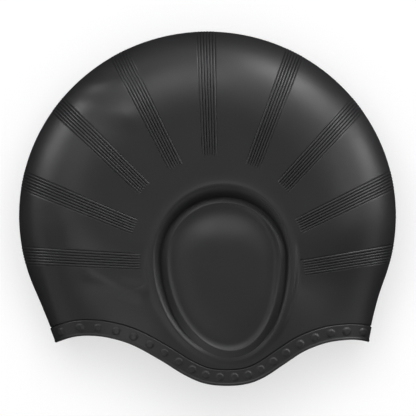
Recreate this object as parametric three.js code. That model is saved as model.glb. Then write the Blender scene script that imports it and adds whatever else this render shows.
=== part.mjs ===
// A one-piece moulded silicone swim cap for long hair, with a pocket for each ear.
// It lies on its side: the forehead towards -X, the crown towards +Y, the open
// mouth towards -Y and the wearer's left side up. The origin is on the surface that
// it lies on, under the middle of its outline.

import * as THREE from 'three';

// Driving dimensions of the crown, in millimetres
const LENGTH = 230;          // forehead to the back of the head, over the crest
const HEIGHT = 216;          // crown to the lobes below the ears
const DEPTH = 84;            // side to side, over the lips of the ear pockets
const CROWN_RISE = 112.4;    // crown above the level where the cap is longest
const CROWN_ROLL = 50;       // inset from the crest where the sides become flat
const CHEEK_ROLL = 88;       // the same inset down at the cheeks, where the cap is leaner
const MOUTH_PULL = 4.5;      // how far the skirt draws in on each side of the mouth
const PULL_LENGTH = 58;      // height of skirt over which it draws in
const WALL = 1.0;
const RIM_WALL = 1.6;

// The ear pocket: a smooth panel in an egg-shaped ridge, with a moat round it
const EAR_WIDTH = 68.4;
const EAR_HEIGHT = 90.2;
const EAR_SET_BACK = 9.9;    // middle of the pocket behind the middle of the cap
const EAR_LEAN = 3.8;        // how far the pocket's tip leans backwards
const LOBE_LAND = 1.5;       // bare skirt between the pocket's shoulder and the rim band
const PANEL_DROP = 1.2;      // top of the panel below the lip
const GROOVE_DEPTH = 1.0;    // groove inside the ridge
const LIP_RISE = 0.8;        // the pocket's flat lip above the face of the cap
const MOAT_WIDTH = { top: 9.8, front: 8.2, bottom: 6.7, back: 6.4 };
const MOAT_DEPTH = { top: 8.5, front: 6.6, bottom: 4.6, back: 6.2 };
const RIDGE_DROP = { top: 5.6, front: 3.8, bottom: 1.6, back: 3.2 };
const LIP_WIDTH = { top: 3.2, front: 3.2, bottom: 2.2, back: 3.2 };
const SHOULDER_WIDTH = { top: 5.0, front: 3.6, bottom: 2.2, back: 3.6 };

// Raised ribs, in groups that fan out from the ear pocket over the crest
const RIBS_PER_GROUP = 6;
const RIB_RISE = 0.4;
const RIB_PITCH_EAR = 1.53;
const RIB_PITCH_CREST = 1.83;
const RIB_END = 1.0;         // length over which a rib's end comes up

// The thicker band round the mouth, with its step, studs and edge bead
const BAND_WIDTH = 9.6;
const BAND_RISE = 0.5;
const BAND_STEP = 0.6;
const STUD_COUNT = 21;
const STUD_DIAMETER = 4.8;
const STUD_TOP_DIAMETER = 3.0;
const STUD_RISE = 0.6;
const STUD_HEIGHT = 5.3;     // middle of a stud above the rim's edge
const BEAD_WIDTH = 2.0;
const BEAD_RISE = 0.35;

// The cheeks run out from the crest's ellipse to the corners of the mouth. Angles are
// in degrees below the level where the cap is longest, and flare is the share by which
// the corner stands outside the ellipse.
const FRONT_CHEEK = { start: 23, corner: 40, flare: 0.056 };
const BACK_CHEEK = { start: 20, corner: 38.2, flare: 0.092 };

// The rim between its two corners: along is a share of LENGTH from the middle, and
// rise is a share of HEIGHT above the lobes.
const RIM = [
  { along: -0.359, rise: 0.135 },
  { along: -0.317, rise: 0.140 },
  { along: -0.264, rise: 0.135 },
  { along: -0.200, rise: 0.115 },
  { along: -0.126, rise: 0.073 },
  { along: -0.062, rise: 0.031 },
  { along: -0.009, rise: 0.007 },
  { along: 0.047, rise: 0.000 },
  { along: 0.103, rise: 0.005 },
  { along: 0.150, rise: 0.024 },
  { along: 0.203, rise: 0.061 },
  { along: 0.256, rise: 0.097 },
  { along: 0.314, rise: 0.120 },
  { along: 0.368, rise: 0.128 },
  { along: 0.402, rise: 0.127 },
];

// Each rib group: where it meets the crest and where it ends by the ear pocket, as
// angles in degrees round the crest and round the pocket, and the share of LENGTH that
// it stops short of the pocket's shoulder.
const RIB_GROUPS = [
  { crest: 192.2, ear: 183, stop: 0.003 },
  { crest: 169.1, ear: 160, stop: 0.030 },
  { crest: 143.4, ear: 138.5, stop: 0.056 },
  { crest: 118.7, ear: 117.5, stop: 0.045 },
  { crest: 90.5, ear: 97.8, stop: 0.044 },
  { crest: 61.9, ear: 72.8, stop: 0.028 },
  { crest: 36.5, ear: 50.8, stop: 0.024 },
  { crest: 11.0, ear: 23.9, stop: 0.003 },
  { crest: -11.5, ear: -5.0, stop: 0.003 },
];

// Shallow creases in the upper side. A crease runs between two places given as shares
// of LENGTH and HEIGHT from the middle; width is a share of LENGTH and depth of DEPTH.
const CREASES = [
  { from: [-0.310, 0.318], to: [-0.222, 0.308], width: 0.022, depth: 0.0110 },
  { from: [-0.300, 0.240], to: [-0.225, 0.235], width: 0.020, depth: 0.0080 },
  { from: [-0.325, -0.195], to: [-0.205, -0.250], width: 0.022, depth: 0.0100 },
  { from: [-0.425, -0.020], to: [-0.400, -0.095], width: 0.020, depth: 0.0080 },
];

// How finely the skins are laid out
const FACE_ROWS = 5;
const GAP_COLUMNS = 2;
const CHEEK_COLUMNS = 3;
const CORNER_COLUMNS = [1, 2, 3, 4, 6];   // half studs from a corner of the mouth
const SKIRT_STEP = 3;        // half studs from one column of the skirt to the next elsewhere
const MOAT_SHARES = [0.76, 0.42, 0.2, 0];
const PANEL_SHARES = [0.86, 0.6, 0.36];
const LINING_MOAT_SHARES = [0.42, 0];
const LINING_PANEL_SHARES = [0.84, 0.45];
const MOAT_FLOOR = 0.42;     // floor of the moat, as a share of its width from the ridge
const GROOVE_AT = 0.86;      // groove, as a share of the panel's radius
const DOME_AT = 0.2;         // flat middle of the panel, as a share of its radius
const RIM_SHARE = 0.4;       // first skirt loop, as a share of the way to the band
const STUD_SHIFT = 0.09;     // studs stand closer together towards the back
const LEAST_AGREEMENT = 0.6; // sharpest corner at which a wall is kept to its thickness

const MID = DEPTH / 2;
const DEGREE = Math.PI / 180;
const FACE = MID - LIP_RISE;
const CREST_CENTRE = new THREE.Vector2(0, HEIGHT / 2 - RIB_RISE - CROWN_RISE);
const EAR_CENTRE = new THREE.Vector2(
  EAR_SET_BACK,
  -HEIGHT / 2 + BAND_WIDTH + BAND_STEP + LOBE_LAND + SHOULDER_WIDTH.bottom
    + LIP_WIDTH.bottom + MOAT_WIDTH.bottom + EAR_HEIGHT - EAR_WIDTH / 2,
);

// Share from 0 to 1 with soft ends
function smooth(share) {
  return THREE.MathUtils.smoothstep(share, 0, 1);
}

function lerp(from, to, share) {
  return from + (to - from) * share;
}

function between(from, to, share) {
  return new THREE.Vector2().lerpVectors(from, to, share);
}

// Outline of the crest, as a distance from its centre at an angle in degrees
function crestRadius(degrees) {
  const cos = Math.cos(degrees * DEGREE);
  const sin = Math.sin(degrees * DEGREE);
  const ellipse = 1 / Math.hypot(cos / (LENGTH / 2), sin / CROWN_RISE);
  const cheek = cos < 0 ? FRONT_CHEEK : BACK_CHEEK;
  const past = Math.max(0, degreesBelow(sin) - cheek.start);
  return ellipse * (1 + cheek.flare * (past / (cheek.corner - cheek.start)) ** 2);
}

function degreesBelow(sin) {
  return Math.asin(Math.max(0, -sin)) / DEGREE;
}

function crestPoint(degrees) {
  const radius = crestRadius(degrees);
  return new THREE.Vector2(
    CREST_CENTRE.x + radius * Math.cos(degrees * DEGREE),
    CREST_CENTRE.y + radius * Math.sin(degrees * DEGREE),
  );
}

// Angle on the crest at a distance from a corner of the mouth
function crestAngleFrom(cornerAngle, turn, distance) {
  const corner = crestPoint(cornerAngle);
  let near = 0;
  let far = 60;
  for (let step = 0; step < 40; step += 1) {
    const middle = (near + far) / 2;
    if (crestPoint(cornerAngle + turn * middle).distanceTo(corner) < distance) near = middle;
    else far = middle;
  }
  return cornerAngle + turn * near;
}

const FRONT_CORNER = 180 + FRONT_CHEEK.corner;
const BACK_CORNER = -BACK_CHEEK.corner;

// Height of the plain face over the middle plane, with the creases left out
function faceHeight(point) {
  const arm = point.clone().sub(CREST_CENTRE);
  const degrees = Math.atan2(arm.y, arm.x) / DEGREE;
  const inset = crestRadius(degrees) - arm.length();
  const below = degreesBelow(Math.sin(degrees * DEGREE));
  const roll = lerp(CROWN_ROLL, CHEEK_ROLL, smooth(below / FRONT_CHEEK.corner));
  const share = THREE.MathUtils.clamp(inset / roll, 0, 1);
  return (FACE - mouthPull(point.y)) * Math.sqrt(1 - (1 - share) ** 2);
}

function mouthPull(y) {
  return MOUTH_PULL * smooth((PULL_LENGTH - HEIGHT / 2 - y) / PULL_LENGTH);
}

// Depth of the creases at a place on the upper side
function creaseDepth(point) {
  let depth = 0;
  for (const crease of CREASES) {
    const from = new THREE.Vector2(crease.from[0] * LENGTH, crease.from[1] * HEIGHT);
    const to = new THREE.Vector2(crease.to[0] * LENGTH, crease.to[1] * HEIGHT);
    const run = to.clone().sub(from);
    const along = point.clone().sub(from).dot(run) / run.lengthSq();
    const nearest = between(from, to, THREE.MathUtils.clamp(along, 0, 1));
    const away = point.distanceTo(nearest) / (crease.width * LENGTH);
    depth += crease.depth * DEPTH * smooth(1 - away);
  }
  return depth;
}

// A size that changes round the ear pocket, at an angle in degrees
function roundEar(degrees, sizes) {
  const cos = Math.cos(degrees * DEGREE);
  const sin = Math.sin(degrees * DEGREE);
  const upright = sin > 0 ? sizes.top : sizes.bottom;
  const level = cos > 0 ? sizes.back : sizes.front;
  return sin * sin * upright + cos * cos * level;
}

function ridgePoint(degrees) {
  const cos = Math.cos(degrees * DEGREE);
  const sin = Math.sin(degrees * DEGREE);
  const down = Math.max(0, -sin);
  const reach = sin > 0 ? EAR_WIDTH / 2 : EAR_HEIGHT - EAR_WIDTH / 2;
  return new THREE.Vector2(
    EAR_CENTRE.x + (EAR_WIDTH / 2) * cos + EAR_LEAN * down * down,
    EAR_CENTRE.y + reach * sin,
  );
}

// Place outside the ridge, at a distance square to it
function outsideRidge(degrees, distance) {
  const along = ridgePoint(degrees + 0.5).sub(ridgePoint(degrees - 0.5)).normalize();
  return ridgePoint(degrees).add(new THREE.Vector2(along.y, -along.x).multiplyScalar(distance));
}

function shoulderReach(degrees) {
  return roundEar(degrees, MOAT_WIDTH) + roundEar(degrees, LIP_WIDTH)
    + roundEar(degrees, SHOULDER_WIDTH);
}

// Angle round the ear pocket at which a place lies
function earAngle(point) {
  const x = (point.x - EAR_CENTRE.x) / (EAR_WIDTH / 2);
  const rise = point.y - EAR_CENTRE.y;
  const y = rise / (rise > 0 ? EAR_WIDTH / 2 : EAR_HEIGHT - EAR_WIDTH / 2);
  return Math.atan2(y, x) / DEGREE;
}

// Height in the moat: share is 0 on the ridge and 1 at the lip
function moatHeight(degrees, share, lip) {
  const floor = lip - roundEar(degrees, MOAT_DEPTH);
  const ridge = lip - roundEar(degrees, RIDGE_DROP);
  if (share < MOAT_FLOOR) return lerp(ridge, floor, smooth(share / MOAT_FLOOR));
  return lerp(floor, lip, smooth((share - MOAT_FLOOR) / (1 - MOAT_FLOOR)));
}

// Height inside the ridge: share is 0 at the middle of the panel and 1 on the ridge
function panelHeight(degrees, share, lip) {
  const ridge = lip - roundEar(degrees, RIDGE_DROP);
  const groove = ridge - GROOVE_DEPTH;
  const dome = MID - PANEL_DROP;
  if (share > GROOVE_AT) return lerp(groove, ridge, smooth((share - GROOVE_AT) / (1 - GROOVE_AT)));
  return lerp(dome, groove, smooth((share - DOME_AT) / (GROOVE_AT - DOME_AT)));
}

// The rim's edge, from the front corner to the back one
function rimCurve() {
  const points = RIM.map((row) => new THREE.Vector2(
    row.along * LENGTH,
    row.rise * HEIGHT - HEIGHT / 2,
  ));
  return new THREE.SplineCurve([crestPoint(FRONT_CORNER), ...points, crestPoint(BACK_CORNER)]);
}

const RIM_CURVE = rimCurve();

// Columns of the skirt, in half studs from the front corner: closer near the corners
function skirtColumns() {
  const full = 2 * STUD_COUNT;
  const columns = [0, full, ...CORNER_COLUMNS, ...CORNER_COLUMNS.map((halves) => full - halves)];
  const last = CORNER_COLUMNS.at(-1);
  for (let halves = last + SKIRT_STEP; halves < full - last; halves += SKIRT_STEP) {
    columns.push(halves);
  }
  return columns.sort((a, b) => a - b);
}

const SKIRT_COLUMNS = skirtColumns();
const STUD_COLUMNS = Array.from({ length: 2 * STUD_COUNT + 1 }, (_, halves) => halves);

// Place on the band: share runs from the front corner to the back one, and offset is
// the distance in from the rim's edge
function bandPoint(share, offset) {
  if (share <= 0) return crestPoint(crestAngleFrom(FRONT_CORNER, -1, offset));
  if (share >= 1) return crestPoint(crestAngleFrom(BACK_CORNER, 1, offset));
  const along = RIM_CURVE.getTangentAt(share);
  const inward = new THREE.Vector2(-along.y, along.x);
  return RIM_CURVE.getPointAt(share).add(inward.multiplyScalar(offset));
}

// Share of the rim at a count of half studs from the front corner
function rimShare(halves) {
  const even = halves / (2 * STUD_COUNT);
  return even + STUD_SHIFT * even * (1 - even);
}

// A skin is a sheet of triangles whose vertices can stand off it by a relief
class Skin {
  constructor(detailed) {
    this.detailed = detailed;
    this.points = [];
    this.reliefs = [];
    this.triangles = [];
    this.known = new Map();
  }

  // side is 1 on the upper half and -1 on the lower one
  vertex(place, height, relief, side) {
    const crease = side > 0 ? Math.min(creaseDepth(place), height) : 0;
    const point = new THREE.Vector3(place.x, place.y, MID + side * (height - crease));
    const key = point.toArray().map((value) => value.toFixed(4)).join();
    if (!this.known.has(key)) {
      this.known.set(key, this.points.length);
      this.points.push(point);
      this.reliefs.push(relief);
    }
    return this.known.get(key);
  }

  // The lining lies one wall inside the outer skin, without its relief
  relief(rise) {
    return this.detailed ? rise : -WALL;
  }

  triangle(a, b, c, side) {
    if (a === b || b === c || c === a) return;
    this.triangles.push(side > 0 ? [a, b, c] : [a, c, b]);
  }

  // Fill between two rows of vertices, each a list of { at, index } with at rising
  stitch(outer, inner, side) {
    let i = 0;
    let j = 0;
    while (i < outer.length - 1 || j < inner.length - 1) {
      const outerNext = i < outer.length - 1 ? outer[i + 1].at : Infinity;
      const innerNext = j < inner.length - 1 ? inner[j + 1].at : Infinity;
      if (outerNext <= innerNext) {
        this.triangle(outer[i].index, inner[j].index, outer[i + 1].index, side);
        i += 1;
      } else {
        this.triangle(outer[i].index, inner[j].index, inner[j + 1].index, side);
        j += 1;
      }
    }
  }

  // Every point moved square to the faces round it by its relief
  raised() {
    const sums = this.points.map(() => new THREE.Vector3());
    const areas = this.points.map(() => 0);
    for (const [a, b, c] of this.triangles) {
      const edge = this.points[b].clone().sub(this.points[a]);
      const face = edge.cross(this.points[c].clone().sub(this.points[a]));
      for (const index of [a, b, c]) {
        sums[index].add(face);
        areas[index] += face.length();
      }
    }
    return this.points.map((point, index) => {
      const agreement = Math.max(sums[index].length() / areas[index], LEAST_AGREEMENT);
      return point.clone().addScaledVector(sums[index].normalize(), this.reliefs[index] / agreement);
    });
  }
}

// One column of the layout runs from the crest or the band towards the ear pocket
function column(outer, inner, ear, options = {}) {
  return { outer, inner, ear, rib: 0, coarse: true, power: 2, rim: false, ...options };
}

function shoulderPoint(ear) {
  return outsideRidge(ear, shoulderReach(ear));
}

// The columns of one rib group, with a rib's top on every second one
function ribColumns(group) {
  const inner = outsideRidge(group.ear, shoulderReach(group.ear) + group.stop * LENGTH);
  const outer = crestPoint(group.crest);
  const run = outer.clone().sub(inner).normalize();
  const across = new THREE.Vector2(run.y, -run.x);
  const perCrestDegree = crestRadius(group.crest) * DEGREE;
  const count = 2 * RIBS_PER_GROUP;
  const columns = [];
  for (let line = 0; line <= count; line += 1) {
    const pitches = (line - count / 2) / 2;
    const start = inner.clone().addScaledVector(across, pitches * RIB_PITCH_EAR);
    const end = crestPoint(group.crest - (pitches * RIB_PITCH_CREST) / perCrestDegree);
    const edge = line === 0 || line === count;
    columns.push(column(end, start, earAngle(start), { rib: line % 2, coarse: edge }));
  }
  return columns;
}

// How far along a column its inner end stands from the pocket's shoulder
function innerShare(entry) {
  const shoulder = shoulderPoint(entry.ear);
  return entry.inner.distanceTo(shoulder) / entry.outer.distanceTo(shoulder);
}

function crestAngleOf(point) {
  const arm = point.clone().sub(CREST_CENTRE);
  const degrees = Math.atan2(arm.y, arm.x) / DEGREE;
  return degrees < -90 ? degrees + 360 : degrees;
}

function unwrapEar(degrees) {
  return degrees < -90 ? degrees + 360 : degrees;
}

// Columns between two others, spread evenly along the crest
function columnsBetween(before, after, count) {
  const columns = [];
  for (let step = 1; step <= count; step += 1) {
    const share = step / (count + 1);
    const outer = crestPoint(lerp(crestAngleOf(before.outer), crestAngleOf(after.outer), share));
    const ear = lerp(unwrapEar(before.ear), unwrapEar(after.ear), share);
    const stand = lerp(innerShare(before), innerShare(after), share);
    columns.push(column(outer, between(shoulderPoint(ear), outer, stand), ear));
  }
  return columns;
}

// All columns round the ear pocket: over the crest from the front corner to the back
// one, then along the band back to the front
function layColumns() {
  const band = BAND_WIDTH + BAND_STEP;
  const columns = [bandColumn(0, band)];
  let last = columns[0];
  for (const [index, group] of RIB_GROUPS.entries()) {
    const ribs = ribColumns(group);
    const count = index === 0 ? CHEEK_COLUMNS : GAP_COLUMNS;
    columns.push(...columnsBetween(last, ribs[0], count), ...ribs);
    last = ribs.at(-1);
  }
  const corner = bandColumn(1, band);
  columns.push(...columnsBetween(last, corner, CHEEK_COLUMNS), corner);
  columns.forEach((entry, index) => { entry.at = index; });
  const crestCount = columns.length - 1;
  for (let halves = 2 * STUD_COUNT - 1; halves > 0; halves -= 1) {
    const entry = bandColumn(rimShare(halves), band);
    entry.at = crestCount + (2 * STUD_COUNT - halves);
    entry.rim = true;
    entry.coarse = SKIRT_COLUMNS.includes(halves);
    const fromCorner = Math.min(halves, 2 * STUD_COUNT - halves) / STUD_COUNT;
    entry.power = lerp(2, 1, smooth(2 * fromCorner));
    columns.push(entry);
  }
  return columns;
}

function bandColumn(share, offset) {
  const outer = bandPoint(share, offset);
  const ear = earAngle(outer);
  return column(outer, between(shoulderPoint(ear), outer, RIM_SHARE), ear);
}

const COLUMNS = layColumns();
const TURN = COLUMNS.at(-1).at + 1;

// A closed row: one vertex for each column, and the first again at the end
function closedRow(columns, make) {
  const row = columns.map((entry) => ({ at: entry.at, index: make(entry) }));
  row.push({ at: TURN, index: row[0].index });
  return row;
}

// Rows of the face, from the crest and the band to the ends of the ribs
function faceRows(skin, side) {
  const shown = COLUMNS.filter((entry) => entry.coarse || (skin.detailed && !entry.rim));
  const first = COLUMNS.filter((entry) => entry.coarse || skin.detailed);
  const rows = [];
  for (let step = 0; step <= FACE_ROWS; step += 1) {
    const rise = step < FACE_ROWS ? RIB_RISE : 0;
    rows.push(closedRow(step === 0 ? first : shown, (entry) => {
      const place = between(entry.outer, entry.inner, rowShare(entry, step));
      return skin.vertex(place, faceHeight(place), skin.relief(rise * entry.rib), side);
    }));
    if (skin.detailed && step === FACE_ROWS - 1) rows.push(ribEndRow(skin, shown, side));
  }
  return rows;
}

// Share of a column's length at which a row crosses it: rows are closer by the crest
function rowShare(entry, step) {
  return (step / FACE_ROWS) ** entry.power;
}

// The row where the ribs are still full height, just before they end
function ribEndRow(skin, columns, side) {
  return closedRow(columns, (entry) => {
    const length = entry.outer.distanceTo(entry.inner);
    const middle = (rowShare(entry, FACE_ROWS - 1) + 1) / 2;
    const place = between(entry.outer, entry.inner, Math.max(1 - RIB_END / length, middle));
    return skin.vertex(place, faceHeight(place), RIB_RISE * entry.rib, side);
  });
}

// Rows of the ear pocket, from the foot of its shoulder to the middle of its panel
function pocketRows(skin, side) {
  const columns = COLUMNS.filter((entry) => entry.coarse);
  const relief = skin.relief(0);
  const row = (place, height) => closedRow(columns, (entry) => {
    const point = place(entry.ear);
    const lip = MID - mouthPull(point.y);
    return skin.vertex(point, height(entry.ear, lip, point), relief, side);
  });
  const rows = [row(shoulderPoint, (ear, lip, point) => faceHeight(point))];
  const lipReach = (ear) => roundEar(ear, MOAT_WIDTH) + roundEar(ear, LIP_WIDTH);
  rows.push(row((ear) => outsideRidge(ear, lipReach(ear)), (ear, lip) => lip));
  rows.push(row((ear) => outsideRidge(ear, roundEar(ear, MOAT_WIDTH)), (ear, lip) => lip));
  for (const share of skin.detailed ? MOAT_SHARES : LINING_MOAT_SHARES) {
    rows.push(row(
      (ear) => outsideRidge(ear, share * roundEar(ear, MOAT_WIDTH)),
      (ear, lip) => moatHeight(ear, share, lip),
    ));
  }
  for (const share of skin.detailed ? PANEL_SHARES : LINING_PANEL_SHARES) {
    rows.push(row(
      (ear) => between(EAR_CENTRE, ridgePoint(ear), share),
      (ear, lip) => panelHeight(ear, share, lip),
    ));
  }
  rows.push(row(() => EAR_CENTRE, () => MID - PANEL_DROP));
  return rows;
}

// A row along the band at an offset from the rim's edge, from the front corner to the
// back one
function bandRow(skin, offset, relief, columns, side) {
  return columns.map((halves) => {
    const place = bandPoint(rimShare(halves), offset);
    return { at: halves, index: skin.vertex(place, faceHeight(place), relief, side) };
  });
}

// One stud in its cell of the band
function layStud(skin, number, side) {
  const middle = 2 * number + 1;
  const ends = [BAND_WIDTH, STUD_HEIGHT, BEAD_WIDTH];
  const cell = [
    [middle - 1, ends[0]], [middle, ends[0]], [middle + 1, ends[0]], [middle + 1, ends[1]],
    [middle + 1, ends[2]], [middle, ends[2]], [middle - 1, ends[2]], [middle - 1, ends[1]],
  ];
  const border = cell.map(([halves, offset]) => {
    const place = bandPoint(rimShare(halves), offset);
    return skin.vertex(place, faceHeight(place), BAND_RISE, side);
  });
  const share = rimShare(middle);
  const along = RIM_CURVE.getTangentAt(share);
  const centre = bandPoint(share, STUD_HEIGHT);
  const ring = (diameter, relief) => cell.map((_, step) => {
    const turn = (135 - 45 * step) * DEGREE;
    const right = (Math.cos(turn) * diameter) / 2;
    const up = (Math.sin(turn) * diameter) / 2;
    const place = new THREE.Vector2(
      centre.x + along.x * right - along.y * up,
      centre.y + along.y * right + along.x * up,
    );
    return skin.vertex(place, faceHeight(place), relief, side);
  });
  const foot = ring(STUD_DIAMETER, BAND_RISE);
  const top = ring(STUD_TOP_DIAMETER, BAND_RISE + STUD_RISE);
  const crown = skin.vertex(centre, faceHeight(centre), BAND_RISE + STUD_RISE, side);
  for (let step = 0; step < cell.length; step += 1) {
    const next = (step + 1) % cell.length;
    layQuad(skin, border[step], border[next], foot[next], foot[step], side);
    layQuad(skin, foot[step], foot[next], top[next], top[step], side);
    skin.triangle(top[step], crown, top[next], side);
  }
}

// A quad whose first two corners lie clockwise on the outside of the other two
function layQuad(skin, a, b, c, d, side) {
  skin.triangle(a, d, b, side);
  skin.triangle(b, d, c, side);
}

// The band of one side, and its row of vertices on the rim's edge
function layBand(skin, side) {
  const top = BAND_WIDTH + BAND_STEP;
  if (!skin.detailed) {
    const middle = bandRow(skin, STUD_HEIGHT, -WALL, SKIRT_COLUMNS, side);
    const edge = bandRow(skin, 0, BAND_RISE - RIM_WALL, SKIRT_COLUMNS, side);
    skin.stitch(bandRow(skin, top, -WALL, SKIRT_COLUMNS, side), middle, side);
    skin.stitch(middle, edge, side);
    return edge;
  }
  const raisedTop = bandRow(skin, BAND_WIDTH, BAND_RISE, STUD_COLUMNS, side);
  skin.stitch(bandRow(skin, top, 0, STUD_COLUMNS, side), raisedTop, side);
  for (let number = 0; number < STUD_COUNT; number += 1) layStud(skin, number, side);
  const groove = bandRow(skin, BEAD_WIDTH, BAND_RISE, STUD_COLUMNS, side);
  const bead = bandRow(skin, BEAD_WIDTH / 2, BAND_RISE + BEAD_RISE, SKIRT_COLUMNS, side);
  const edge = bandRow(skin, 0, BAND_RISE, SKIRT_COLUMNS, side);
  skin.stitch(groove, bead, side);
  skin.stitch(bead, edge, side);
  return edge;
}

// One skin of the whole cap: the rows of both its sides, and its open edge as a loop
function laySkin(detailed) {
  const skin = new Skin(detailed);
  const edges = [1, -1].map((side) => {
    const rows = [...faceRows(skin, side), ...pocketRows(skin, side)];
    for (let index = 1; index < rows.length; index += 1) {
      skin.stitch(rows[index - 1], rows[index], side);
    }
    return layBand(skin, side);
  });
  const back = edges[1].map((entry) => ({ at: 4 * STUD_COUNT - entry.at, index: entry.index }));
  return { skin, loop: [...edges[0], ...back.reverse().slice(1)] };
}

// The cap's body: outer skin, lining, and the rim's end face that joins them
function capGeometry() {
  const outer = laySkin(true);
  const lining = laySkin(false);
  const shift = outer.skin.points.length;
  const points = [...outer.skin.raised(), ...lining.skin.raised()];
  const body = new Skin(true);
  body.triangles = [
    ...outer.skin.triangles,
    ...lining.skin.triangles.map(([a, b, c]) => [a + shift, c + shift, b + shift]),
  ];
  const inner = lining.loop.map((entry) => ({ at: entry.at, index: entry.index + shift }));
  body.stitch(outer.loop, inner, 1);
  const geometry = new THREE.BufferGeometry();
  const numbers = points.flatMap((point) => point.toArray());
  geometry.setAttribute('position', new THREE.Float32BufferAttribute(numbers, 3));
  geometry.setIndex(body.triangles.flat());
  geometry.computeVertexNormals();
  return geometry;
}

const silicone = new THREE.MeshStandardMaterial({ color: 0x1c1d1f, roughness: 0.45, metalness: 0 });
const cap = new THREE.Mesh(capGeometry(), silicone);
cap.name = 'cap';

const swimCap = new THREE.Group();
swimCap.add(cap);

export default swimCap;
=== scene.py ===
"""Looks of a one-piece moulded silicone swim cap with a pocket for each ear.

The cap lies on its side on a pale floor: the forehead towards -X, the crown towards +Y,
the open mouth towards -Y and the wearer's left side up. All lengths are in metres.

Each skin of the cap starts as a flat grid, its pattern. A column of the pattern runs from
the crest, or from the rim's edge, to the middle of the ear pocket, and its rows fall into
zones. The pattern is cut finer where the ribs and the studs come, and then every vertex
is pressed on to the form that the mould gives the rubber.
"""

import logging
import math
from dataclasses import dataclass, field
from enum import Enum

import bpy
import numpy as np
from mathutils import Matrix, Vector

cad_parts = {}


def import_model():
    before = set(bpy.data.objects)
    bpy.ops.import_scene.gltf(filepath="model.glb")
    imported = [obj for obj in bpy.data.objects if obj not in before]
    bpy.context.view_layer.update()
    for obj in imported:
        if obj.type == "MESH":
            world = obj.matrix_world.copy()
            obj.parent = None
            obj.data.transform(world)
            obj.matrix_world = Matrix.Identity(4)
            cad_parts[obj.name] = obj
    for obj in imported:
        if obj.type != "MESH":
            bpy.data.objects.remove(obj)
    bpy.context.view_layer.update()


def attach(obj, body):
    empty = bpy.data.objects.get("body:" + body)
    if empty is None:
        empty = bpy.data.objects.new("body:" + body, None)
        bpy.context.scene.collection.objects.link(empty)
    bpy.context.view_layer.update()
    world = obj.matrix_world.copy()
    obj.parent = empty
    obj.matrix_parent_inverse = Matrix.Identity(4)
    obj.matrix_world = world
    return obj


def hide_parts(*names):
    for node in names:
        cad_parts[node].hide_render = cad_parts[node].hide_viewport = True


LOG = logging.getLogger("swim_cap")
MM = 0.001
SEARCH_STEPS = 40
"""Halvings or corrections after which a search has long settled."""
LINE = 0.1
"""How near a line of the flat pattern counts as on it, in columns or rows."""
NICK = 1e-6
"""The same for what has to lie exactly on a line."""


def smooth(share: np.ndarray) -> np.ndarray:
    """Share from 0 to 1 with soft ends."""
    share = np.clip(share, 0.0, 1.0)
    return share * share * (3.0 - 2.0 * share)


def mix(first: np.ndarray, last: np.ndarray, share: np.ndarray) -> np.ndarray:
    """Value at a share of the way from first to last."""
    return first + (last - first) * share


def mix_places(first: np.ndarray, last: np.ndarray, share: np.ndarray) -> np.ndarray:
    """Places at shares of the way from first to last, one row each."""
    return first + (last - first) * np.asarray(share)[..., None]


def linear_colour(hex_code: str) -> tuple[float, float, float, float]:
    """Turn an sRGB colour to the linear one that the shader takes.

    Args:
        hex_code: the colour as six hex digits.

    Returns:
        Linear red, green and blue, and an alpha of one.
    """
    parts = [int(hex_code[at : at + 2], 16) / 255 for at in (0, 2, 4)]
    return (*[p / 12.92 if p <= 0.04045 else ((p + 0.055) / 1.055) ** 2.4 for p in parts], 1.0)


@dataclass(frozen=True)
class Cheek:
    """One end of the crest, which runs out from its ellipse to a corner of the mouth.

    Angles are in degrees below the level where the cap is longest.
    """

    start: float
    corner: float
    flare: float


@dataclass(frozen=True)
class Fold:
    """A soft fold in the upper side, between two places: it stands up, or sinks where its
    rise is below zero."""

    start: tuple[float, float]
    end: tuple[float, float]
    width: float
    rise: float


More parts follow.
